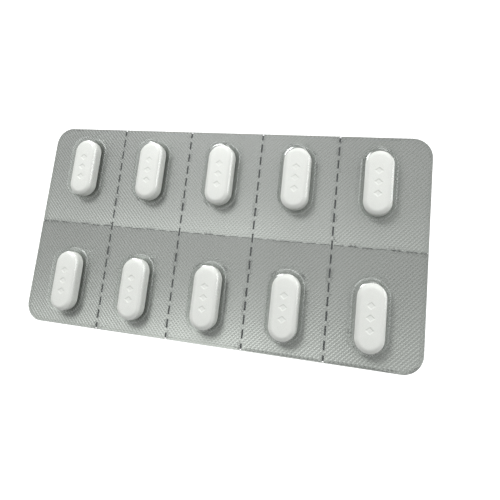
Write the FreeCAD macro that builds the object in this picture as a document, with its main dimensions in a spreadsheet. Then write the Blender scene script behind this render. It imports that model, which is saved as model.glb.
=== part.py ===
import FreeCAD, Part
import math
import os
import Sketcher

# Push-through tablet pack: a moulded clear film with two rows of pockets,
# a flat foil sealed to its underside, and one oblong tablet in each pocket.
# It lies foil down. X runs along the long edge, Y across it and Z out of the
# pockets. The origin is the middle of the foil's underside. Lengths are in
# millimetres and angles in degrees.

drivingSizes = {
    # the card
    "column_pitch": 21.2,  # from one pocket column to the next
    "row_pitch": 33.2,  # between the two pocket rows
    "side_margin": 12.9,  # outer column centre to the card's short edge
    "end_margin": 12.4,  # row centre to the card's long edge
    "card_corner_radius": 5.0,
    "film_thickness": 0.25,
    "foil_thickness": 0.03,
    # the tablets
    "tablet_length": 16.6,
    "tablet_width": 7.15,
    "tablet_band": 2.5,  # height of the upright side
    "tablet_bevel_rise": 0.9,  # height of the slope round each face
    "tablet_bevel_width": 0.95,
    "tablet_seat_gap": 0.02,  # between a tablet and the foil it lies on
    # the pockets, round the tablets' upper shoulders, where the fit is closest
    "pocket_end_gap": 0.35,
    "pocket_side_gap": 0.37,
    "pocket_head_gap": 0.45,  # over a tablet's face
    "resting_gap": 0.02,  # left where a tablet has slid up to the wall
    "pocket_draft": 4.2,  # slope of the pocket walls
    "pocket_top_radius": 1.3,  # outside rounding of the pocket's roof
    # the tear lines, knife cuts through film and foil
    "slit_length": 2.35,
    "slit_width": 0.45,
    "slit_pitch": 3.55,
    "cross_slit_length": 2.5,
    "cross_slit_width": 0.32,
}
columnCount = 5
rowNames = ["front", "back"]  # the row nearer the card's front long edge comes first
crossSlitsPerColumn = 6
roofSlopes = 2  # chords in the outside rounding of a pocket's roof
ceilingSlopes = 1
# Each tablet has slid towards the front, turned this many degrees to the right of straight ahead
slideTurns = [52, 44, 56, 47, 50, 26, 34, 20, 30, 24]

doc = FreeCAD.newDocument("blister_pack")
sheet = doc.addObject("Spreadsheet::Sheet", "sizes")
for rowNumber, (alias, size) in enumerate(drivingSizes.items(), start=1):
    sheet.set(f"A{rowNumber}", alias)
    sheet.set(f"B{rowNumber}", str(size))
    sheet.setAlias(f"B{rowNumber}", alias)
doc.recompute()

# Sizes that follow from the sheet, as expressions
rowCount = len(rowNames)
columnSpan = f"({columnCount - 1} * sizes.column_pitch)"
rowSpan = f"({rowCount - 1} * sizes.row_pitch)"
cardLength = f"({columnSpan} + 2 * sizes.side_margin)"
cardWidth = f"({rowSpan} + 2 * sizes.end_margin)"
tabletHeight = "(sizes.tablet_band + 2 * sizes.tablet_bevel_rise)"
shoulderHeight = "(sizes.tablet_seat_gap + sizes.tablet_bevel_rise + sizes.tablet_band)"
# A pocket's mouth is wider than the room at the shoulders by what the draft takes in
draftGrowth = f"({shoulderHeight} * tan(sizes.pocket_draft))"
pocketLength = f"(sizes.tablet_length + 2 * (sizes.pocket_end_gap + {draftGrowth}))"
pocketWidth = f"(sizes.tablet_width + 2 * (sizes.pocket_side_gap + {draftGrowth}))"
pocketDepth = f"(sizes.tablet_seat_gap + {tabletHeight} + sizes.pocket_head_gap)"
# The outer wall stands one film thickness off the inner one, square to the slope
wallGrowth = "(sizes.film_thickness * (1 / cos(sizes.pocket_draft) - tan(sizes.pocket_draft)))"
bubbleLength = f"({pocketLength} + 2 * {wallGrowth})"
bubbleWidth = f"({pocketWidth} + 2 * {wallGrowth})"
slideRoom = "(sizes.pocket_side_gap - sizes.resting_gap)"


def amount(expression):
    """The present value of an expression on the sheet."""
    return float(sheet.evalExpression(expression.replace("sizes.", "")))


def new_sketch(body, name, shift=None):
    """A sketch on the body's level plane; shift gives its offset per axis."""
    sketch = body.newObject("Sketcher::SketchObject", name)
    level = next(plane for plane in body.Origin.OriginFeatures if plane.Role == "XY_Plane")
    sketch.AttachmentSupport = (level, [""])
    sketch.MapMode = "FlatFace"
    for axis, expression in (shift or {}).items():
        sketch.setExpression(f".AttachmentOffset.Base.{axis}", expression)
    doc.recompute()
    return sketch


def constrain(sketch, kind, *arguments, size=None):
    """Adds a constraint, and ties it to an expression where it has a size."""
    if size is not None:
        arguments = (*arguments, amount(size))
    index = sketch.addConstraint(Sketcher.Constraint(kind, *arguments))
    if size is not None:
        sketch.setExpression(f"Constraints[{index}]", size)


def point(x, y):
    return FreeCAD.Vector(x, y, 0)


def line(sketch, start, end):
    return sketch.addGeometry(Part.LineSegment(point(*start), point(*end)))


def arc(sketch, centre, radius, first, last):
    circle = Part.Circle(point(*centre), FreeCAD.Vector(0, 0, 1), radius)
    return sketch.addGeometry(Part.ArcOfCircle(circle, math.radians(first), math.radians(last)))


atStart, atEnd, atCentre = range(1, 4)  # which point of a sketch edge a constraint takes
sketchOrigin = (-1, atStart)


def draw_rectangle(sketch, length, width):
    """A rectangle centred on the sketch's origin."""
    x = amount(length) / 2
    y = amount(width) / 2
    corners = [(-x, -y), (x, -y), (x, y), (-x, y)]
    sides = [line(sketch, corners[i], corners[(i + 1) % 4]) for i in range(4)]
    for i in range(4):
        constrain(sketch, "Coincident", sides[i], atEnd, sides[(i + 1) % 4], atStart)
    for side in (sides[0], sides[2]):
        constrain(sketch, "Horizontal", side)
    for side in (sides[1], sides[3]):
        constrain(sketch, "Vertical", side)
    constrain(sketch, "Symmetric", sides[0], atStart, sides[2], atStart, *sketchOrigin)
    constrain(sketch, "DistanceX", sides[0], atStart, sides[0], atEnd, size=length)
    constrain(sketch, "DistanceY", sides[1], atStart, sides[1], atEnd, size=width)


def draw_rounded_rectangle(sketch, length, width, radius):
    """A rectangle with four equal round corners, centred on the sketch's origin."""
    r = amount(radius)
    x = amount(length) / 2
    y = amount(width) / 2
    bottom = line(sketch, (-x + r, -y), (x - r, -y))
    right = line(sketch, (x, -y + r), (x, y - r))
    top = line(sketch, (x - r, y), (-x + r, y))
    left = line(sketch, (-x, y - r), (-x, -y + r))
    corners = [
        arc(sketch, (x - r, -y + r), r, 270, 360),
        arc(sketch, (x - r, y - r), r, 0, 90),
        arc(sketch, (-x + r, y - r), r, 90, 180),
        arc(sketch, (-x + r, -y + r), r, 180, 270),
    ]
    sides = [bottom, right, top, left]
    for i in range(4):
        constrain(sketch, "Tangent", sides[i], atEnd, corners[i], atStart)
        constrain(sketch, "Tangent", corners[i], atEnd, sides[(i + 1) % 4], atStart)
    for corner in corners[1:]:
        constrain(sketch, "Equal", corners[0], corner)
    constrain(sketch, "Horizontal", bottom)
    constrain(sketch, "Vertical", right)
    constrain(sketch, "Symmetric", corners[0], atCentre, corners[2], atCentre, *sketchOrigin)
    constrain(sketch, "Radius", corners[0], size=radius)
    constrain(sketch, "DistanceX", left, atStart, right, atStart, size=length)
    constrain(sketch, "DistanceY", bottom, atStart, top, atStart, size=width)


def draw_stadium(sketch, length, width):
    """An oblong with half-round ends, long along Y, centred on the sketch's origin."""
    r = amount(width) / 2
    y = amount(length) / 2 - r
    far = arc(sketch, (0, y), r, 0, 180)
    near = arc(sketch, (0, -y), r, 180, 360)
    left = line(sketch, (-r, y), (-r, -y))
    right = line(sketch, (r, -y), (r, y))
    constrain(sketch, "Tangent", far, atEnd, left, atStart)
    constrain(sketch, "Tangent", left, atEnd, near, atStart)
    constrain(sketch, "Tangent", near, atEnd, right, atStart)
    constrain(sketch, "Tangent", right, atEnd, far, atStart)
    constrain(sketch, "Vertical", left)
    constrain(sketch, "Symmetric", far, atCentre, near, atCentre, *sketchOrigin)
    constrain(sketch, "DistanceX", left, atStart, right, atStart, size=width)
    constrain(sketch, "DistanceY", near, atCentre, far, atCentre, size=f"({length} - {width})")


def add_feature(body, kind, name, sketch, height, slope=None, reverse=False):
    """A pad or a pocket of a sketch, upwards unless reversed, drawn in by a slope."""
    before = body.Shape.Volume if body.Tip else 0
    feature = body.newObject(f"PartDesign::{kind}", name)
    feature.Profile = sketch
    feature.Reversed = reverse if kind == "Pad" else not reverse
    if height:
        feature.setExpression("Length", height)
    else:
        feature.Type = "ThroughAll"
    if slope:
        feature.setExpression("TaperAngle", f"-{slope}")
    doc.recompute()
    if (body.Shape.Volume > before) != (kind == "Pad"):
        raise RuntimeError(f"{name} changes nothing")
    return feature


def add_rounded_stack(body, kind, name, place, level, length, width, height, radius, slopeCount):
    """An oblong with sloping walls and a rounded end, in layers from the level up.

    The rounding's layers are chords of an arc that leaves the wall at the wall's own
    slope and ends level. Each layer is a rise, an inset and a slope from the upright."""
    draft = "sizes.pocket_draft"
    wall = f"({height} - {radius} * (1 - sin({draft})))"
    layers = [(wall, f"({wall} * tan({draft}))", draft)]
    turns = [f"({draft} + {step} * (90 - {draft}) / {slopeCount})" for step in range(slopeCount + 1)]
    for first, last in zip(turns, turns[1:]):
        rise = f"({radius} * (sin({last}) - sin({first})))"
        inset = f"({radius} * (cos({first}) - cos({last})))"
        layers.append((rise, inset, f"(({first} + {last}) / 2)"))
    features = []
    for number, (rise, inset, slope) in enumerate(layers, start=1):
        outline = new_sketch(body, f"{name}_outline_{number}", shift={**place, "z": level})
        draw_stadium(outline, length, width)
        features.append(add_feature(body, kind, f"{name}_{number}", outline, rise, slope))
        level = f"({level} + {rise})"
        length = f"({length} - 2 * {inset})"
        width = f"({width} - 2 * {inset})"
    return features, outline


def repeat(body, name, features, sketch, across, acrossSpan, along=1, alongSpan=None):
    """Copies of features on a grid, across along the sketch's X and along its Y."""
    pattern = body.newObject("PartDesign::LinearPattern", name)
    pattern.Originals = features
    pattern.Mode = "Extent"
    pattern.Direction = (sketch, ["H_Axis"])
    pattern.Occurrences = across
    pattern.setExpression("Length", acrossSpan)
    if along > 1:
        pattern.Mode2 = "Extent"
        pattern.Direction2 = (sketch, ["V_Axis"])
        pattern.Occurrences2 = along
        pattern.setExpression("Length2", alongSpan)
    body.Tip = pattern
    doc.recompute()
    return pattern


def column_place(column):
    return f"({column} * sizes.column_pitch - {columnSpan} / 2)"


def row_place(row):
    return f"({row} * sizes.row_pitch - {rowSpan} / 2)"


# Tear lines: rows of short knife cuts between the columns and between the rows
def cut_tear_lines(body):
    prefix = body.Label
    halfCount = math.floor(amount(cardWidth) / 2 / amount("sizes.slit_pitch") + 0.5)
    slitCount = 2 * halfCount + 1  # the middle cut crosses the line between the rows
    firstSlit = new_sketch(
        body,
        f"{prefix}_slit_outline",
        shift={
            "x": f"{column_place(0)} + sizes.column_pitch / 2",
            "y": f"-{halfCount} * sizes.slit_pitch",
        },
    )
    draw_rectangle(firstSlit, "sizes.slit_width", "sizes.slit_length")
    slit = add_feature(body, "Pocket", f"{prefix}_slit", firstSlit, None)
    lineSpan = f"({columnSpan} - sizes.column_pitch)"
    slitSpan = f"({slitCount - 1} * sizes.slit_pitch)"
    repeat(body, f"{prefix}_slits", [slit], firstSlit, columnCount - 1, lineSpan, slitCount, slitSpan)


def cut_cross_line(body):
    """Cuts from edge to edge, evenly placed so that none meets a column's tear line."""
    prefix = body.Label
    pitch = f"(sizes.column_pitch / {crossSlitsPerColumn})"
    sideCount = math.ceil(amount(cardLength) / 2 / amount(pitch))
    cutSpan = f"({2 * sideCount - 1} * {pitch})"
    firstCut = new_sketch(body, f"{prefix}_cross_outline", shift={"x": f"-{cutSpan} / 2"})
    draw_rectangle(firstCut, "sizes.cross_slit_length", "sizes.cross_slit_width")
    cut = add_feature(body, "Pocket", f"{prefix}_cross_cut", firstCut, None)
    repeat(body, f"{prefix}_cross_cuts", [cut], firstCut, 2 * sideCount, cutSpan)


def make_sheet(name, thickness):
    """The flat sheet with round corners that film and foil both start from."""
    body = doc.addObject("PartDesign::Body", name)
    body.Label = name
    outline = new_sketch(body, f"{name}_outline")
    draw_rounded_rectangle(outline, cardLength, cardWidth, "sizes.card_corner_radius")
    add_feature(body, "Pad", f"{name}_sheet", outline, thickness)
    return body


# Lidding foil: the flat bottom of the pack
def make_foil():
    body = make_sheet("lidding_foil", "sizes.foil_thickness")
    cut_tear_lines(body)
    cut_cross_line(body)
    return body


# Forming film: one clear sheet with the pockets moulded up out of it
def make_film():
    body = make_sheet("forming_film", "sizes.film_thickness")
    place = {"x": column_place(0), "y": row_place(0)}
    grid = (columnCount, columnSpan, rowCount, rowSpan)
    sheetTop = "sizes.film_thickness"
    roof = ("sizes.pocket_top_radius", roofSlopes)
    ceiling = ("(sizes.pocket_top_radius - sizes.film_thickness)", ceilingSlopes)

    bubble, outline = add_rounded_stack(
        body, "Pad", "bubble", place, sheetTop, bubbleLength, bubbleWidth, pocketDepth, *roof
    )
    repeat(body, "bubbles", bubble, outline, *grid)
    pocket, outline = add_rounded_stack(
        body, "Pocket", "pocket", place, "0", pocketLength, pocketWidth, pocketDepth, *ceiling
    )
    repeat(body, "pockets", pocket, outline, *grid)
    cut_tear_lines(body)
    cut_cross_line(body)
    body.setExpression(".Placement.Base.z", "sizes.foil_thickness")
    return body


# Tablets: an oblong with upright sides and a broad bevel round both faces
def make_tablet(name, column, row, slideTurn):
    body = doc.addObject("PartDesign::Body", name)
    body.Label = name
    slope = "atan(sizes.tablet_bevel_width / sizes.tablet_bevel_rise)"
    rise = "sizes.tablet_bevel_rise"
    layers = [
        ("side", rise, "sizes.tablet_band", None, False),
        ("upper_face", f"({rise} + sizes.tablet_band)", rise, slope, False),
        ("lower_face", rise, rise, slope, True),
    ]
    for part, lift, height, layerSlope, reverse in layers:
        outline = new_sketch(body, f"{name}_{part}_outline", shift={"z": lift})
        draw_stadium(outline, "sizes.tablet_length", "sizes.tablet_width")
        add_feature(body, "Pad", f"{name}_{part}", outline, height, layerSlope, reverse)
    aside = f"{slideRoom} * sin({slideTurn})"
    forward = f"(sizes.pocket_end_gap - sizes.pocket_side_gap + {slideRoom} * cos({slideTurn}))"
    body.setExpression(".Placement.Base.x", f"{column_place(column)} + {aside}")
    body.setExpression(".Placement.Base.y", f"{row_place(row)} - {forward}")
    body.setExpression(".Placement.Base.z", "sizes.foil_thickness + sizes.tablet_seat_gap")
    return body


pieces = [make_foil(), make_film()]
for row, rowName in enumerate(rowNames):
    for column in range(columnCount):
        slideTurn = slideTurns[(row * columnCount + column) % len(slideTurns)]
        pieces.append(make_tablet(f"tablet_{rowName}_{column + 1}", column, row, slideTurn))
doc.recompute()

for item in doc.Objects:
    if "Invalid" in item.State or "Error" in item.State:
        raise RuntimeError(f"{item.Label} failed: {item.State}")
for piece in pieces:
    if piece.Shape.isNull() or not piece.Shape.isValid() or len(piece.Shape.Solids) != 1:
        raise RuntimeError(f"{piece.Label} is not one sound solid")

os.makedirs("parts", exist_ok=True)
for piece in pieces:
    piece.Shape.exportStep(f"parts/{piece.Label}.step")
    box = piece.Shape.BoundBox
    print(f"{piece.Label}: {box.XLength:.2f} x {box.YLength:.2f} x {box.ZLength:.2f} mm, "
          f"{piece.Shape.Volume:.1f} mm3, lowest {box.ZMin:.3f}")
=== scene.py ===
import math

import bmesh
import bpy
from mathutils import Matrix, Vector


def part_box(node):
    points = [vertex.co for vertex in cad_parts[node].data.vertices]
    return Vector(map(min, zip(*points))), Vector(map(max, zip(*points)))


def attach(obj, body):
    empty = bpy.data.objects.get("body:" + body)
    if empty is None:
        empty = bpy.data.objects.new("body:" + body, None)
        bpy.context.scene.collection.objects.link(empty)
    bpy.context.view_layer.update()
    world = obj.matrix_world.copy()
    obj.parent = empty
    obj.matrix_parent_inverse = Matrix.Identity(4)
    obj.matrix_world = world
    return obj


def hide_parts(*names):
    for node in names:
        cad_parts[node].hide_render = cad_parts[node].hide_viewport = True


# A push-through tablet pack: clear moulded film, knurled foil and ten tablets.
# It lies foil down, long side along X. Lengths are in metres.
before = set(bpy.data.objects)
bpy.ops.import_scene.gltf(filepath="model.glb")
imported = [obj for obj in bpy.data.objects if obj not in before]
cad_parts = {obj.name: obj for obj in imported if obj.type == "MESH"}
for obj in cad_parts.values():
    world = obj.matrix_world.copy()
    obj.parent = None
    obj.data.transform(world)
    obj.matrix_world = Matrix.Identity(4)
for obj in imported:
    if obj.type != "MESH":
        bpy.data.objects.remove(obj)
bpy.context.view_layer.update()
mm = 0.001
foilLow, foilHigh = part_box("lidding_foil")
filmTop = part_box("forming_film")[1].z
cardLength = foilHigh.x - foilLow.x
cardWidth = foilHigh.y - foilLow.y
print("frame loaded: card", round(cardLength / mm, 1), "x", round(cardWidth / mm, 1), "mm")

# Where things lie on the card
layout = {
    "columns": 5,
    "rows": 2,
    "columnPitch": 21.2 * mm,
    "rowPitch": 33.2 * mm,
    "cornerRadius": 5.0 * mm,
    "slitPitch": 3.55 * mm,
    "slitLength": 2.35 * mm,
    "slitWidth": 0.45 * mm,
    "crossSlitsPerColumn": 6,
    "crossSlitLength": 2.5 * mm,
    "crossSlitWidth": 0.12 * mm,  # a light score, nearly closed
    "uncutEdge": 0.15 * mm,  # left where a cut would run over the card's edge
}
crossPitch = layout["columnPitch"] / layout["crossSlitsPerColumn"]


class Wire:
    # One socket, with sums written as Python expressions
    def __init__(self, graph, socket):
        self.graph = graph
        self.socket = socket

    def maths(self, operation, *values):
        settings = {"operation": operation}
        return self.graph.add("ShaderNodeMath", settings, dict(enumerate(values)))

    def __add__(self, other):
        return self.maths("ADD", self, other)

    def __sub__(self, other):
        return self.maths("SUBTRACT", self, other)

    def __rsub__(self, other):
        return self.maths("SUBTRACT", other, self)

    def __mul__(self, other):
        return self.maths("MULTIPLY", self, other)

    def __truediv__(self, other):
        return self.maths("DIVIDE", self, other)

    def __lt__(self, other):
        return self.maths("LESS_THAN", self, other)

    def __gt__(self, other):
        return self.maths("GREATER_THAN", self, other)

    __rmul__ = __mul__

    def size(self):
        return self.maths("ABSOLUTE", self)

    def most(self, other):
        return self.maths("MAXIMUM", self, other)

    def least(self, other):
        return self.maths("MINIMUM", self, other)

    def rounded(self):
        return self.maths("ROUND", self)

    def whole(self):
        return self.maths("FLOOR", self)

    def root(self):
        return self.maths("SQRT", self)

    def power(self, exponent):
        return self.maths("POWER", self, exponent)

    def other(self, name):
        return Wire(self.graph, self.socket.node.outputs[name])


class Graph:
    # Adds nodes to a tree: type, then settings, then the values or wires of its sockets
    def __init__(self, tree):
        self.tree = tree

    def add(self, kind, settings=None, values=None, out=0):
        node = self.tree.nodes.new(kind)
        for name, value in (settings or {}).items():
            setattr(node, name, value)
        for name, value in (values or {}).items():
            for item in value if isinstance(value, list) else [value]:
                if isinstance(item, Wire):
                    self.tree.links.new(item.socket, node.inputs[name])
                else:
                    node.inputs[name].default_value = item
        return Wire(self, node.outputs[out]) if len(node.outputs) else node

    def blend(self, share, first, second):
        # A colour between two; the sockets are known by number, as their names repeat
        values = {0: share, 6: first, 7: second}
        return self.add("ShaderNodeMix", {"data_type": "RGBA"}, values, out=2)


def stadium(length, width, centre=(0, 0), arcSteps=20):
    # An oblong with half-round ends, long along Y, anticlockwise
    radius = width / 2
    reach = length / 2 - radius
    points = []
    for endSide, firstTurn in ((1, 0), (-1, math.pi)):
        for step in range(arcSteps + 1):
            turn = firstTurn + math.pi * step / arcSteps
            x = centre[0] + radius * math.cos(turn)
            y = centre[1] + endSide * reach + radius * math.sin(turn)
            points.append((x, y))
    return points


def rectangle(length, width, centre=(0, 0)):
    x, y = centre
    halfX, halfY = length / 2, width / 2
    corners = ((-halfX, -halfY), (halfX, -halfY), (halfX, halfY), (-halfX, halfY))
    return [(x + right, y + up) for right, up in corners]


def lozenge(length, width, centre):
    x, y = centre
    return [(x + width / 2, y), (x, y + length / 2), (x - width / 2, y), (x, y - length / 2)]


def roundedCard(length, width, radius, arcSteps=10):
    points = []
    for sideX, sideY, firstTurn in ((1, -1, 270), (1, 1, 0), (-1, 1, 90), (-1, -1, 180)):
        for step in range(arcSteps + 1):
            turn = math.radians(firstTurn + 90 * step / arcSteps)
            x = sideX * (length / 2 - radius) + radius * math.cos(turn)
            y = sideY * (width / 2 - radius) + radius * math.sin(turn)
            points.append((x, y))
    return points


def ring(mesh, outline, level):
    # Vertices of an outline at one level, joined into a loop
    corners = [mesh.verts.new((x, y, level)) for x, y in outline]
    for first, second in zip(corners, corners[1:] + corners[:1]):
        mesh.edges.new((first, second))
    return corners


def bridge(mesh, lower, upper):
    for i in range(len(lower)):
        following = (i + 1) % len(lower)
        mesh.faces.new((lower[i], lower[following], upper[following], upper[i]))


def fill(mesh, rings):
    # A flat face with holes, from rings already in the mesh
    edges = []
    for corners in rings:
        for first, second in zip(corners, corners[1:] + corners[:1]):
            edges.append(mesh.edges.get((first, second)))
    bmesh.ops.triangle_fill(mesh, use_beauty=True, use_dissolve=False, edges=edges)


def objectFrom(mesh, name, sharpAngle=None):
    data = bpy.data.meshes.new(name)
    mesh.to_mesh(data)
    mesh.free()
    if sharpAngle is not None:
        data.shade_smooth()
        data.set_sharp_from_angle(angle=math.radians(sharpAngle))
    made = bpy.data.objects.new(name, data)
    bpy.context.scene.collection.objects.link(made)
    return made


def treeWith(name, inputs):
    # A Geometry Nodes tree with named inputs and one geometry output
    tree = bpy.data.node_groups.new(name, "GeometryNodeTree")
    for inputName, socketType in {"Geometry": "Geometry", **inputs}.items():
        kind = "NodeSocket" + socketType
        tree.interface.new_socket(inputName, in_out="INPUT", socket_type=kind)
    tree.interface.new_socket("Geometry", in_out="OUTPUT", socket_type="NodeSocketGeometry")
    graph = Graph(tree)
    return tree, graph, graph.add("NodeGroupInput")


def runTree(made, tree, values):
    # Sets the tree's inputs on a modifier, and keeps the result as a plain mesh
    modifier = made.modifiers.new(tree.name, "NODES")
    modifier.node_group = tree
    for item in tree.interface.items_tree:
        if item.in_out == "INPUT" and item.name in values:
            modifier[item.identifier] = values[item.name]
    evaluated = made.evaluated_get(bpy.context.evaluated_depsgraph_get())
    result = bpy.data.meshes.new_from_object(evaluated)
    made.modifiers.remove(modifier)
    made.data = result


def tearCuts():
    # The knife cuts of the tear lines, as rectangles on the card
    cuts = []
    halfCount = int(cardWidth / 2 / layout["slitPitch"] + 0.5)
    for gap in range(layout["columns"] - 1):
        x = (gap - (layout["columns"] - 2) / 2) * layout["columnPitch"]
        for step in range(-halfCount, halfCount + 1):
            centre = (x, step * layout["slitPitch"])
            cuts.append(rectangle(layout["slitWidth"], layout["slitLength"], centre))
    crossCount = math.ceil(cardLength / 2 / crossPitch)
    for step in range(-crossCount, crossCount):
        centre = ((step + 0.5) * crossPitch, 0)
        cuts.append(rectangle(layout["crossSlitLength"], layout["crossSlitWidth"], centre))
    return cuts


def insideCard(outline):
    # Cuts that run over the card's edge end a little short of it
    limitX = cardLength / 2 - layout["uncutEdge"]
    limitY = cardWidth / 2 - layout["uncutEdge"]
    return [(max(-limitX, min(limitX, x)), max(-limitY, min(limitY, y))) for x, y in outline]


def sheetMesh(lowLevel, highLevel, holes):
    # A flat sheet with the card's outline and cuts; holes stay open for what is joined there
    mesh = bmesh.new()
    walls = [roundedCard(cardLength, cardWidth, layout["cornerRadius"])]
    walls += [insideCard(cut) for cut in tearCuts()]
    lower = [ring(mesh, outline, lowLevel) for outline in walls]
    upper = [ring(mesh, outline, highLevel) for outline in walls]
    for lowRing, highRing in zip(lower, upper):
        bridge(mesh, lowRing, highRing)
    for rings, level in ((lower, lowLevel), (upper, highLevel)):
        fill(mesh, rings + [ring(mesh, hole, level) for hole in holes])
    return mesh


# Lidding foil: knurled where it is sealed, smooth under the pockets
knurl = {
    "pitch": 0.75 * mm,  # between ridges, which run at 45 degrees
    "height": 0.038 * mm,
    "pocketRim": 0.5 * mm,  # smooth band round each pocket
    "edgeRim": 0.4 * mm,  # smooth band along the card's edge
    "cutRim": 0.06 * mm,
    "smallest": 0.3,  # share of full size below which a pyramid is left out
    "leftPaintedShadeContrast": 1.2,  # how strongly the painted shade and sheen draw the knurl's lines
    "rightPaintedShadeContrast": 0.62,
}

pocket = {
    "length": 18.26 * mm,  # outside, at the foot
    "width": 8.86 * mm,
    "draft": 4.2,  # degrees
    "wall": 0.25 * mm,
    "roofRadius": 1.3 * mm,
    "footRadius": 0.35 * mm,
    "roundSteps": 8,
    "weld": 0.002 * mm,
    "sharpAngle": 35,  # degrees
    "levelFrom": 0.9999,  # upright part of its normal from which a face counts as flat
}
sheetTop = foilHigh.z + pocket["wall"]


def makeKnurlTree():
    sizes = (
        "Length", "Width", "Corner", "Column Pitch", "Row Pitch", "Pitch", "Height", "Level",
        "Smallest", "Pocket Length", "Pocket Width", "Pocket Rim", "Edge Rim", "Slit Pitch",
        "Slit Length", "Slit Width", "Cross Pitch", "Cross Length", "Cross Width")
    inputs = dict.fromkeys(sizes, "Float") | {"Columns": "Int", "Material": "Material"}
    tree, graph, given = treeWith("knurlPyramids", inputs)
    take = given.other
    reach = (take("Length") + take("Width")) / math.sqrt(2)
    count = (reach / take("Pitch")).rounded() + 1
    span = (count - 1) * take("Pitch")
    grid = graph.add("GeometryNodeMeshGrid", {}, {
        "Size X": span, "Size Y": span, "Vertices X": count, "Vertices Y": count})
    turned = graph.add("GeometryNodeTransform", {}, {
        "Geometry": grid, "Rotation": (0, 0, math.radians(45))})
    place = graph.add("GeometryNodeInputPosition")
    x = graph.add("ShaderNodeSeparateXYZ", {}, {0: place})
    y = x.other("Y")

    # room to the card's edge
    corner = take("Corner")
    sideX = x.size() - (take("Length") / 2 - corner)
    sideY = y.size() - (take("Width") / 2 - corner)
    beyondX, beyondY = sideX.most(0), sideY.most(0)
    beyond = (beyondX * beyondX + beyondY * beyondY).root()
    edgeRoom = (beyond + sideX.most(sideY).least(0) - corner) * -1 - take("Edge Rim")

    # room to the nearest pocket
    lastColumn = (take("Columns") - 1) / 2
    column = (x / take("Column Pitch")).rounded().least(lastColumn).most(lastColumn * -1)
    fromX = x - column * take("Column Pitch")
    fromRow = (y.size() - take("Row Pitch") / 2).size()
    fromY = (fromRow - (take("Pocket Length") - take("Pocket Width")) / 2).most(0)
    toPocket = (fromX * fromX + fromY * fromY).root() - take("Pocket Width") / 2
    pocketRoom = toPocket - take("Pocket Rim")

    # room to the cuts
    between = (x / take("Column Pitch") + 0.5).rounded() - 0.5
    outer = (x.size() - take("Column Pitch") * lastColumn) > 0
    toLine = (x - between * take("Column Pitch")).size() - take("Slit Width") / 2 + outer
    step = (y / take("Slit Pitch")).rounded()
    toSlitEnd = (y - step * take("Slit Pitch")).size() - take("Slit Length") / 2
    slitRoom = toLine.most(toSlitEnd)
    crossStep = (x / take("Cross Pitch") + 0.5).rounded() - 0.5
    toCrossEnd = (x - crossStep * take("Cross Pitch")).size() - take("Cross Length") / 2
    crossRoom = (y.size() - take("Cross Width") / 2).most(toCrossEnd)

    # a pyramid shrinks where it has less room, and goes where it has none
    cell = take("Pitch") / math.sqrt(2)
    room = edgeRoom.least(pocketRoom).least(slitRoom).least(crossRoom) / cell
    points = graph.add("GeometryNodeMeshToPoints", {}, {
        "Mesh": turned, "Selection": room > take("Smallest")})
    cone = graph.add("GeometryNodeMeshCone", {"fill_type": "TRIANGLE_FAN"}, {
        "Vertices": 4, "Radius Top": 0.0, "Radius Bottom": cell, "Depth": take("Height")})
    placed = graph.add("GeometryNodeInstanceOnPoints", {}, {
        "Points": points, "Instance": cone, "Scale": room.least(1).most(0)})
    real = graph.add("GeometryNodeRealizeInstances", {}, {"Geometry": placed})
    lift = graph.add("ShaderNodeCombineXYZ", {}, {"Z": take("Level")})
    lifted = graph.add("GeometryNodeTransform", {}, {"Geometry": real, "Translation": lift})
    joined = graph.add("GeometryNodeJoinGeometry", {}, {"Geometry": [lifted, given]})
    coated = graph.add("GeometryNodeSetMaterial", {}, {
        "Geometry": joined, "Material": take("Material")})
    graph.add("NodeGroupOutput", {}, {"Geometry": coated})
    return tree


def makeFoil(material):
    sheet = objectFrom(sheetMesh(foilLow.z, foilHigh.z, []), "knurled_foil")
    runTree(sheet, makeKnurlTree(), {
        "Length": cardLength, "Width": cardWidth, "Corner": layout["cornerRadius"],
        "Column Pitch": layout["columnPitch"], "Row Pitch": layout["rowPitch"],
        "Pitch": knurl["pitch"], "Height": knurl["height"], "Level": foilHigh.z,
        "Smallest": knurl["smallest"],
        "Pocket Length": pocket["length"], "Pocket Width": pocket["width"],
        "Pocket Rim": knurl["pocketRim"], "Edge Rim": knurl["edgeRim"],
        "Slit Pitch": layout["slitPitch"], "Slit Length": layout["slitLength"],
        "Slit Width": layout["slitWidth"] + knurl["cutRim"],
        "Cross Pitch": crossPitch, "Cross Length": layout["crossSlitLength"],
        "Cross Width": layout["crossSlitWidth"] + knurl["cutRim"],
        "Columns": layout["columns"], "Material": material})
    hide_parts("lidding_foil")
    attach(sheet, "root")
    print("foil made:", len(sheet.data.polygons), "faces")


# Forming film: one clear sheet with the pockets moulded up out of it
def skinProfile(inside):
    # Inset from the foot outline and level, from the foot up to the roof's flat part
    draft = math.radians(pocket["draft"])
    offset = pocket["wall"] if inside else 0
    footRadius = pocket["footRadius"] + offset
    roofRadius = pocket["roofRadius"] - offset
    footX, footZ = -pocket["footRadius"], sheetTop + pocket["footRadius"]
    roofZ = filmTop - pocket["roofRadius"]
    rounding = (pocket["footRadius"] + pocket["roofRadius"]) * (1 / math.cos(draft) - 1)
    roofX = (roofZ - footZ) * math.tan(draft) + rounding + pocket["roofRadius"]
    shares = [step / pocket["roundSteps"] for step in range(pocket["roundSteps"] + 1)]
    profile = []
    for share in shares:
        turn = share * (math.pi / 2 - draft)
        profile.append((footX + footRadius * math.sin(turn), footZ - footRadius * math.cos(turn)))
    for share in shares:
        turn = draft + share * (math.pi / 2 - draft)
        profile.append((roofX - roofRadius * math.cos(turn), roofZ + roofRadius * math.sin(turn)))
    return profile


def footOutline(centre):
    flare = 2 * pocket["footRadius"]
    return stadium(pocket["length"] + flare, pocket["width"] + flare, centre)


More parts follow.
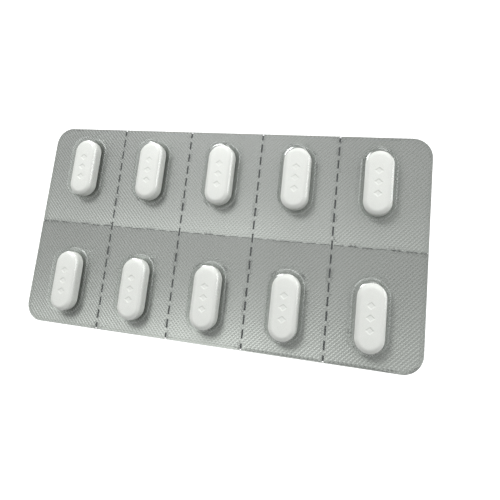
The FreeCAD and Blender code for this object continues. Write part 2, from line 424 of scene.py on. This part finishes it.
def pocketShell():
    mesh = bmesh.new()
    for inside in (False, True):
        lower = None
        for inset, level in skinProfile(inside):
            outline = stadium(pocket["length"] - 2 * inset, pocket["width"] - 2 * inset)
            upper = ring(mesh, outline, level)
            if lower:
                bridge(mesh, lower, upper)
            lower = upper
        mesh.faces.new(lower)
    return objectFrom(mesh, "pocketShell")


def makePocketTree():
    tree, graph, given = treeWith("mouldedPockets", {
        "Shell": "Object", "Columns": "Int", "Rows": "Int", "Column Pitch": "Float",
        "Row Pitch": "Float", "Weld": "Float", "Material": "Material"})
    take = given.other
    grid = graph.add("GeometryNodeMeshGrid", {}, {
        "Size X": (take("Columns") - 1) * take("Column Pitch"),
        "Size Y": (take("Rows") - 1) * take("Row Pitch"),
        "Vertices X": take("Columns"), "Vertices Y": take("Rows")})
    shell = graph.add("GeometryNodeObjectInfo", {}, {"Object": take("Shell")})
    placed = graph.add("GeometryNodeInstanceOnPoints", {}, {
        "Points": grid, "Instance": shell.other("Geometry")})
    real = graph.add("GeometryNodeRealizeInstances", {}, {"Geometry": placed})
    joined = graph.add("GeometryNodeJoinGeometry", {}, {"Geometry": [real, given]})
    welded = graph.add("GeometryNodeMergeByDistance", {}, {
        "Geometry": joined, "Distance": take("Weld")})
    coated = graph.add("GeometryNodeSetMaterial", {}, {
        "Geometry": welded, "Material": take("Material")})
    graph.add("NodeGroupOutput", {}, {"Geometry": coated})
    return tree


def pocketCentres():
    centres = []
    for row in range(layout["rows"]):
        y = (row - (layout["rows"] - 1) / 2) * layout["rowPitch"]
        for column in range(layout["columns"]):
            x = (column - (layout["columns"] - 1) / 2) * layout["columnPitch"]
            centres.append((x, y))
    return centres


def makeFilm(material):
    holes = [footOutline(centre) for centre in pocketCentres()]
    film = objectFrom(sheetMesh(foilHigh.z, sheetTop, holes), "clear_film")
    shell = pocketShell()
    runTree(film, makePocketTree(), {
        "Shell": shell, "Columns": layout["columns"], "Rows": layout["rows"],
        "Column Pitch": layout["columnPitch"], "Row Pitch": layout["rowPitch"],
        "Weld": pocket["weld"], "Material": material})
    bpy.data.objects.remove(shell)
    mesh = bmesh.new()
    mesh.from_mesh(film.data)
    bmesh.ops.recalc_face_normals(mesh, faces=mesh.faces)
    openEdges = sum(not edge.is_manifold for edge in mesh.edges)
    for face in mesh.faces:
        face.smooth = True
    # an edge stays sharp between flat and round, so the flat sheet shades flat
    sharpAngle = math.radians(pocket["sharpAngle"])
    for edge in mesh.edges:
        levelFaces = {abs(face.normal.z) > pocket["levelFrom"] for face in edge.link_faces}
        edge.smooth = len(levelFaces) == 1 and edge.calc_face_angle(0) < sharpAngle
    mesh.to_mesh(film.data)
    mesh.free()
    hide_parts("forming_film")
    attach(film, "root")
    print("film made:", len(film.data.polygons), "faces,", openEdges, "open edges")


# Tablets: oblong, upright sides, a soft bevel and shallow lozenge marks
tabletLow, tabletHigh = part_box("tablet_front_1")
tablet = {
    "length": tabletHigh.y - tabletLow.y,
    "width": tabletHigh.x - tabletLow.x,
    "height": tabletHigh.z - tabletLow.z,
    "bevelRise": 0.9 * mm,
    "bevelInset": 0.95 * mm,
    "softness": 0.45 * mm,  # rounding of the bevel's edges
    "softSteps": 4,
    "sharpAngle": 32,  # degrees
    "markCount": 3,
    "markPitch": 2.9 * mm,
    "markLength": 1.9 * mm,
    "markWidth": 2.3 * mm,
    "markDepth": 0.14 * mm,
    "markSlope": 0.28 * mm,
}


def softProfile():
    # Inset and level of the upper half, from the middle of the side to the face
    soft, rise, inset = tablet["softness"], tablet["bevelRise"], tablet["bevelInset"]
    top = tablet["height"] / 2
    corners = [Vector(spot) for spot in ((0, 0), (0, top - rise), (inset, top))]
    corners.append(corners[-1] + Vector((2 * soft, 0)))
    profile = [corners[0]]
    for before, here, after in zip(corners, corners[1:], corners[2:]):
        start = here + (before - here).normalized() * soft
        end = here + (after - here).normalized() * soft
        for step in range(tablet["softSteps"] + 1):
            share = step / tablet["softSteps"]
            curve = start * (1 - share) ** 2 + here * (2 * share * (1 - share)) + end * share**2
            profile.append(curve)
    return [tuple(spot) for spot in profile]


def tabletMesh():
    mesh = bmesh.new()
    half = tablet["height"] / 2
    slope = tablet["markSlope"]
    profile = softProfile()
    rings = []
    for inset, level in [(inset, -level) for inset, level in reversed(profile)] + profile[1:]:
        outline = stadium(tablet["length"] - 2 * inset, tablet["width"] - 2 * inset)
        rings.append(ring(mesh, outline, level))
    for lower, upper in zip(rings, rings[1:]):
        bridge(mesh, lower, upper)
    for edgeRing, side in ((rings[-1], 1), (rings[0], -1)):
        loops = [edgeRing]
        for number in range(tablet["markCount"]):
            centre = (0, (number - (tablet["markCount"] - 1) / 2) * tablet["markPitch"])
            length, width = tablet["markLength"], tablet["markWidth"]
            rim = ring(mesh, lozenge(length, width, centre), side * half)
            floorOutline = lozenge(length - 2 * slope, width - 2 * slope, centre)
            floor = ring(mesh, floorOutline, side * (half - tablet["markDepth"]))
            bridge(mesh, rim, floor)
            mesh.faces.new(floor)
            loops.append(rim)
        fill(mesh, loops)
    bmesh.ops.recalc_face_normals(mesh, faces=mesh.faces)
    return mesh


def makeTablets(material):
    for node in sorted(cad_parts):
        if not node.startswith("tablet_"):
            continue
        low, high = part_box(node)
        mesh = tabletMesh()
        bmesh.ops.translate(mesh, verts=mesh.verts, vec=(low + high) / 2)
        made = objectFrom(mesh, node.replace("tablet", "soft_tablet"), tablet["sharpAngle"])
        made.data.materials.append(material)
        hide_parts(node)
        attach(made, "root")
    print("tablets made")


def newMaterial(name):
    material = bpy.data.materials.new(name)
    material.use_nodes = True
    material.node_tree.nodes.clear()
    return material, Graph(material.node_tree)


def objectPlace(graph):
    return graph.add("ShaderNodeTexCoord").other("Object")


def noise(graph, place, scale, detail):
    values = {"Vector": place, "Scale": scale, "Detail": detail}
    return graph.add("ShaderNodeTexNoise", {}, values)


def paintedKnurlShadeAt(x, y):
    # Painted shade of the knurl: 0 on its ridges, 0.5 between them. It paints one set of the
    # crossing ridges at the left of the card and the other at the right, the sets the light picks
    # out there.
    pitch = knurl["pitch"] * math.sqrt(2)
    up, down = (x + y) / pitch, (x - y) / pitch
    toRight = (x * (2 / cardLength) + 0.5).most(0).least(1)
    rightLines = (down - down.rounded()).size()
    leftLines = (up - up.rounded()).size()
    lines = rightLines * toRight + leftLines * (1 - toRight)
    gain = knurl["rightPaintedShadeContrast"] - knurl["leftPaintedShadeContrast"]
    middle = 0.25
    return (lines - middle) * (gain * toRight + knurl["leftPaintedShadeContrast"]) + middle


foilFinish = {
    "colour": (0.275, 0.289, 0.272, 1),
    "cloudToneAndPaintedShade": (0.136, 0.142, 0.134, 1),  # painted shade in the lines between the ridges, also the dark end of the clouding
    "roughness": 0.44,
    "cloudScale": 60.0,
    "cloudColour": 0.4,  # how much the clouding shows in the colour
    "cloudRoughness": 0.08,
    "grainScale": 2500.0,
    "grainStrength": 0.12,
    "grainHeight": 0.05 * mm,
    "bow": 0.23,  # bumped slope at the ends of each half, as if the sealed sheet curled a little
    "fold": 0.20,  # bumped slope of the back half, as if bent up a little at the line between the rows
}


def foilMaterial():
    material, graph = newMaterial("knurledFoil")
    place = objectPlace(graph)
    x = graph.add("ShaderNodeSeparateXYZ", {}, {0: place})
    y = x.other("Y")
    cloud = noise(graph, place, foilFinish["cloudScale"], 3.0)
    # the colour darkens with random clouding and with painted shade along the knurl's lines
    cloudToneAndPaintedShade = cloud * foilFinish["cloudColour"] + paintedKnurlShadeAt(x, y)
    colour = graph.blend(cloudToneAndPaintedShade, foilFinish["colour"], foilFinish["cloudToneAndPaintedShade"])
    # each half of the sheet, between the middle line and a long edge, is bumped to shade as if it
    # curled up a little at its ends
    half = cardWidth / 2
    along = (y + half) / half
    within = along - along.whole() - 0.5
    curl = within * within * (foilFinish["bow"] * half) + y.most(0) * foilFinish["fold"]
    bow = graph.add("ShaderNodeBump", {}, {"Height": curl, "Strength": 1.0, "Distance": 1.0})
    grain = graph.add("ShaderNodeBump", {}, {
        "Height": noise(graph, place, foilFinish["grainScale"], 2.0),
        "Strength": foilFinish["grainStrength"],
        "Distance": foilFinish["grainHeight"], "Normal": bow})
    shine = graph.add("ShaderNodeBsdfPrincipled", {}, {
        "Base Color": colour, "Metallic": 1.0, "Normal": grain,
        "Roughness": cloud * foilFinish["cloudRoughness"] + foilFinish["roughness"]})
    graph.add("ShaderNodeOutputMaterial", {}, {"Surface": shine})
    return material


filmFinish = {
    "tint": (0.985, 0.99, 0.985, 1),
    "gloss": (0.9, 0.92, 0.91, 1),
    "roughness": 0.12,  # on the pockets
    "sealedRoughness": 0.36,  # added where the film is pressed on to the knurl
    "sealedReach": 0.035 * mm,  # of the seal's finish, above the flat sheet
    "paintedKnurlSheen": 0.12,  # painted sheen along the knurl's lines, where the film is sealed on
    "faceOn": 0.03,  # share of light thrown back, seen square on
    "edgeOn": 5,  # the higher, the nearer to edge on before it throws back much more
    "haze": 0.03,
    "cloudScale": 120.0,
    "cloudRoughness": 0.08,
    "shadowLoss": 0.5,  # clear film casts a weak shadow
}


def filmMaterial():
    material, graph = newMaterial("clearFilm")
    place = objectPlace(graph)
    x = graph.add("ShaderNodeSeparateXYZ", {}, {0: place})
    cloud = noise(graph, place, filmFinish["cloudScale"], 2.0)
    sealed = x.other("Z") < sheetTop + filmFinish["sealedReach"]
    rough = cloud * filmFinish["cloudRoughness"] + filmFinish["roughness"]
    gloss = graph.add("ShaderNodeBsdfPrincipled", {}, {
        "Base Color": filmFinish["gloss"], "Metallic": 1.0,
        "Roughness": rough + sealed * filmFinish["sealedRoughness"]})
    clear = graph.add("ShaderNodeBsdfTransparent", {}, {"Color": filmFinish["tint"]})
    # more is thrown back the flatter it is seen, the same from either side of the skin
    facing = graph.add("ShaderNodeLayerWeight", {}, {"Blend": 0.5}, out="Facing")
    edgeOn = facing.power(filmFinish["edgeOn"]) * (1 - filmFinish["faceOn"])
    # painted sheen: the sealed film throws back more along the set of knurl lines the light picks
    # out on each side
    paintedSheen = sealed * (0.5 - paintedKnurlShadeAt(x, x.other("Y"))) * filmFinish["paintedKnurlSheen"]
    share = edgeOn + filmFinish["faceOn"] + cloud * filmFinish["haze"] + paintedSheen
    shadowRay = graph.add("ShaderNodeLightPath", out="Is Shadow Ray")
    shown = share * (1 - shadowRay * filmFinish["shadowLoss"])
    mixed = graph.add("ShaderNodeMixShader", {}, {0: shown, 1: clear, 2: gloss})
    graph.add("ShaderNodeOutputMaterial", {}, {"Surface": mixed})
    return material


tabletFinish = {
    "colour": (0.81, 0.81, 0.79, 1),
    "shade": (0.77, 0.77, 0.75, 1),
    "roughness": 0.6,
    "speckScale": 900.0,
    "speckRoughness": 0.1,
    "speckStrength": 0.1,
    "speckHeight": 0.1 * mm,
}


def tabletMaterial():
    material, graph = newMaterial("coatedTablet")
    speck = noise(graph, objectPlace(graph), tabletFinish["speckScale"], 3.0)
    bump = graph.add("ShaderNodeBump", {}, {
        "Height": speck, "Strength": tabletFinish["speckStrength"],
        "Distance": tabletFinish["speckHeight"]})
    coat = graph.add("ShaderNodeBsdfPrincipled", {}, {
        "Base Color": graph.blend(speck, tabletFinish["colour"], tabletFinish["shade"]),
        "Roughness": speck * tabletFinish["speckRoughness"] + tabletFinish["roughness"],
        "Normal": bump})
    graph.add("ShaderNodeOutputMaterial", {}, {"Surface": coat})
    return material


makeFoil(foilMaterial())
makeFilm(filmMaterial())
makeTablets(tabletMaterial())

studio = {
    "floorSize": 3.0,
    "floorColour": (0.8, 0.8, 0.8, 1),
    "floorGlow": 0.6,  # added for the camera alone
    "floorDrop": 0.03 * mm,
    "paintedShadeColour": (0.1, 0.105, 0.105, 1),  # painted shade: a dark sheet under the card, standing in for the shade seen through its cuts
    "paintedShadeInset": 0.4 * mm,
    "worldLight": 0.25,
}
lamps = {
    "key": {"place": (-0.22, 0.295, 0.49), "size": 0.18, "power": 2.45},
    "fill": {"place": (0.44, 0.14, 0.22), "size": 0.36, "power": 0.9},
    "back": {"place": (0.12, 0.44, 0.19), "size": 0.26, "power": 0.75},
}
camera = {
    "place": (47.25 * mm, -11.26 * mm, 132.93 * mm),
    "aim": (8.26 * mm, 14.46 * mm, 0),
    "turn": 6.46,  # degrees, about the line of sight
    "sensor": 36.0,
    "lens": 37.01,
    "shiftY": -0.13,
    "near": 0.005,
    "far": 20.0,
}


def seenShare(graph):
    # 1 for rays that show the background, straight or in gloss
    rays = graph.add("ShaderNodeLightPath", out="Is Camera Ray")
    return rays.most(rays.other("Is Glossy Ray")).most(rays.other("Is Transmission Ray"))


def flatObject(name, outline, level):
    mesh = bmesh.new()
    mesh.faces.new(ring(mesh, outline, level))
    return objectFrom(mesh, name)


def makeFloor():
    floorOutline = rectangle(studio["floorSize"], studio["floorSize"])
    floor = flatObject("floor", floorOutline, -2 * studio["floorDrop"])
    material, graph = newMaterial("paleFloor")
    plain = graph.add("ShaderNodeBsdfDiffuse", {}, {"Color": studio["floorColour"]})
    glow = graph.add("ShaderNodeEmission", {}, {
        "Strength": seenShare(graph) * studio["floorGlow"]})
    both = graph.add("ShaderNodeAddShader", {}, {0: plain, 1: glow})
    graph.add("ShaderNodeOutputMaterial", {}, {"Surface": both})
    floor.data.materials.append(material)
    # a dark sheet just under the card paints the shade seen through its cuts
    inset = 2 * studio["paintedShadeInset"]
    outline = roundedCard(cardLength - inset, cardWidth - inset, layout["cornerRadius"])
    under = flatObject("under_shade", outline, -studio["floorDrop"])
    material, graph = newMaterial("underShade")
    dark = graph.add("ShaderNodeBsdfDiffuse", {}, {"Color": studio["paintedShadeColour"]})
    graph.add("ShaderNodeOutputMaterial", {}, {"Surface": dark})
    under.data.materials.append(material)


def makeWorld():
    world = bpy.data.worlds.new("studio")
    world.use_nodes = True
    world.node_tree.nodes.clear()
    graph = Graph(world.node_tree)
    seen = seenShare(graph)
    light = seen + (1 - seen) * studio["worldLight"]
    sky = graph.add("ShaderNodeBackground", {}, {"Color": (1, 1, 1, 1), "Strength": light})
    graph.add("ShaderNodeOutputWorld", {}, {"Surface": sky})
    bpy.context.scene.world = world


def makeLamp(name, chosen):
    lamp = bpy.data.lights.new(name, "AREA")
    lamp.shape = "DISK"
    lamp.size = chosen["size"]
    lamp.energy = chosen["power"]
    made = bpy.data.objects.new(name, lamp)
    bpy.context.scene.collection.objects.link(made)
    made.location = chosen["place"]
    made.rotation_mode = "QUATERNION"
    made.rotation_quaternion = (-made.location).to_track_quat("-Z", "Y")


def makeCamera():
    data = bpy.data.cameras.new("camera")
    made = bpy.data.objects.new("camera", data)
    bpy.context.scene.collection.objects.link(made)
    place = Vector(camera["place"])
    back = (place - Vector(camera["aim"])).normalized()
    turn = math.radians(camera["turn"])
    right = Vector((-math.sin(turn), math.cos(turn), 0)).cross(back).normalized()
    axes = Matrix((right, back.cross(right), back)).transposed().to_4x4()
    made.matrix_world = Matrix.Translation(place) @ axes
    data.sensor_width = camera["sensor"]
    data.lens = camera["lens"]
    data.shift_y = camera["shiftY"]
    data.clip_start, data.clip_end = camera["near"], camera["far"]
    bpy.context.scene.camera = made


makeFloor()
makeWorld()
for name, chosen in lamps.items():
    makeLamp(name, chosen)
makeCamera()
bpy.context.scene.view_settings.view_transform = "Standard"

# The plain solids carry the same finishes as the pieces that stand for them
for name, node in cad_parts.items():
    finish = {"lidding_foil": "knurledFoil", "forming_film": "clearFilm"}.get(name, "coatedTablet")
    node.data.materials.clear()
    node.data.materials.append(bpy.data.materials[finish])

print("scene ready")
